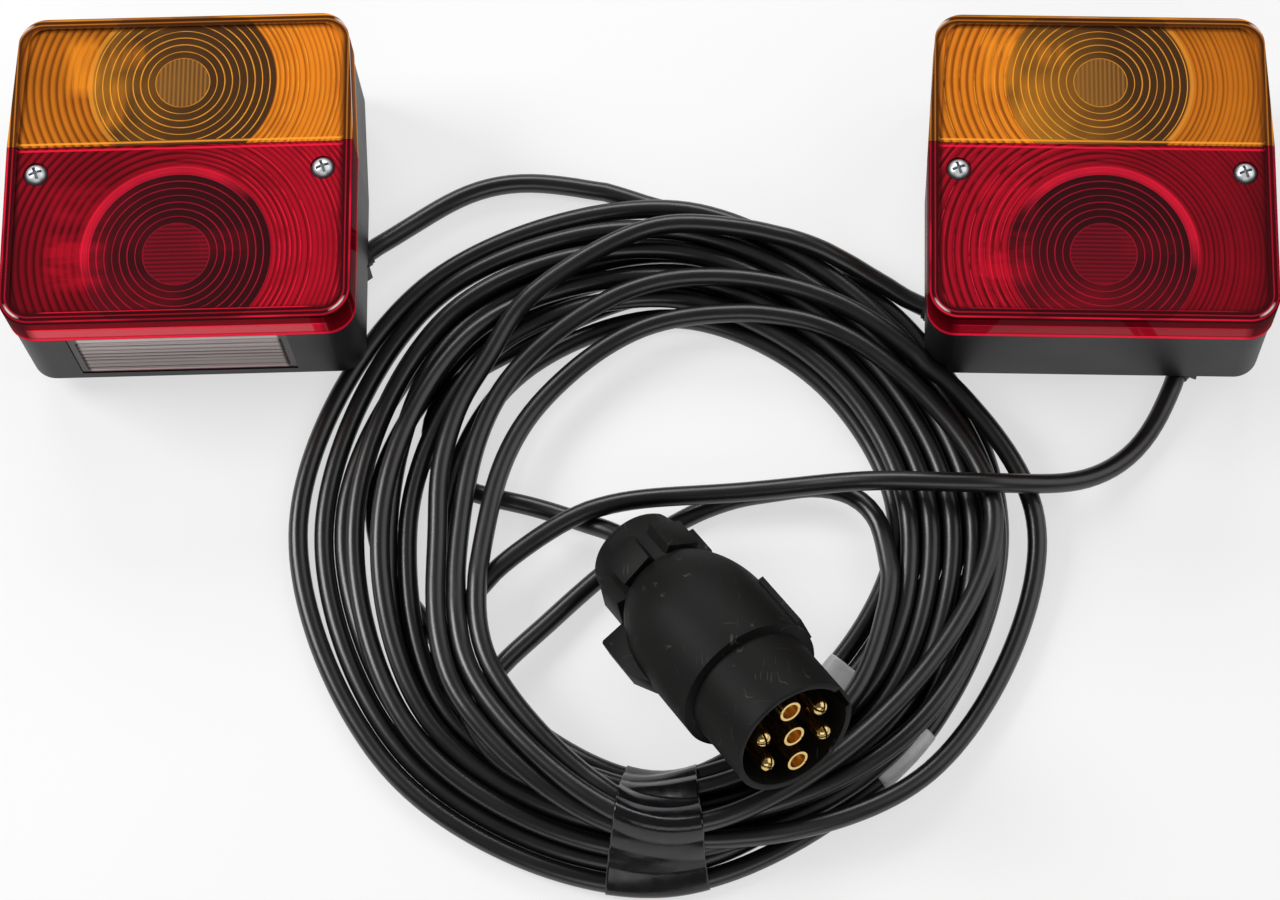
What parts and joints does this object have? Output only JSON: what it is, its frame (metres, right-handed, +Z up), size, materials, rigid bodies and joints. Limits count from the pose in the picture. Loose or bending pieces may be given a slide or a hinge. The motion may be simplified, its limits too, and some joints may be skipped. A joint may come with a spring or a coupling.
{
  "type": "magnetic trailer light kit",
  "caption": "Square rear lamps with red and amber lenses on pot magnets, joined by a taped coil of round cable that ends in a seven-contact trailer plug.",
  "frame": {"origin": "on the table under the lamps, midway between them", "axes": "+X from the left lamp to the right lamp, +Y towards the indicator edges, +Z up, the way the lenses face"},
  "size_m": [0.3813, 0.2548, 0.0677],
  "materials": {
    "base_plastic": "satin moulded black",
    "red_lens": "clear red, polished",
    "amber_lens": "clear amber, polished",
    "clear_plastic": "clear, finely ribbed",
    "rubber": "matt",
    "zinc_screw": "bright zinc",
    "zinc_sheet": "rolled, zinc plated",
    "bulb_glass": "clear",
    "brass": "turned",
    "spring_bronze": "rolled strip",
    "terminal_plastic": "moulded",
    "magnet_steel": "pressed, nickel plated",
    "ferrite": "ground ceramic",
    "plug_plastic": "matt, finely scratched",
    "insert_plastic": "matt",
    "cable_sheath": "semi-gloss",
    "black_tape": "wrinkled gloss",
    "pale_tie": "crumpled strip"
  },
  "bodies": {
    "root": {"left_base": "base_plastic", "left_gasket": "rubber", "left_red_lens": "red_lens", "left_amber_lens": "amber_lens", "left_lens_screws": "zinc_screw", "left_bulb_carrier": "zinc_sheet", "left_indicator_bulb": "bulb_glass", "left_indicator_cap": "brass", "left_stop_bulb": "bulb_glass", "left_stop_cap": "brass", "left_contact_springs": "spring_bronze", "left_terminal_block": "terminal_plastic", "left_magnet_cup": "magnet_steel", "left_magnet_ring": "ferrite", "left_magnet_bolt": "zinc_screw", "left_magnet_nut": "zinc_screw", "left_grommet": "rubber", "left_plate_window": "clear_plastic", "right_base": "base_plastic", "right_gasket": "rubber", "right_red_lens": "red_lens", "right_amber_lens": "amber_lens", "right_lens_screws": "zinc_screw", "right_bulb_carrier": "zinc_sheet", "right_indicator_bulb": "bulb_glass", "right_indicator_cap": "brass", "right_stop_bulb": "bulb_glass", "right_stop_cap": "brass", "right_contact_springs": "spring_bronze", "right_terminal_block": "terminal_plastic", "right_magnet_cup": "magnet_steel", "right_magnet_ring": "ferrite", "right_magnet_bolt": "zinc_screw", "right_magnet_nut": "zinc_screw", "right_grommets": "rubber", "plug_shell": "plug_plastic", "plug_nut": "plug_plastic", "plug_seal": "rubber", "plug_insert": "insert_plastic", "plug_tube_contacts": "brass", "plug_pin_contacts": "brass", "plug_insert_screws": "zinc_screw", "main_lead_lamp_end": "cable_sheath", "main_lead_plug_end": "cable_sheath", "main_lead_crossing": "cable_sheath", "link_lead_left_end": "cable_sheath", "link_lead_right_end": "cable_sheath", "cable_coil": "cable_sheath", "coil_tape": "black_tape", "coil_tie": "pale_tie"}
  },
  "joints": []
}
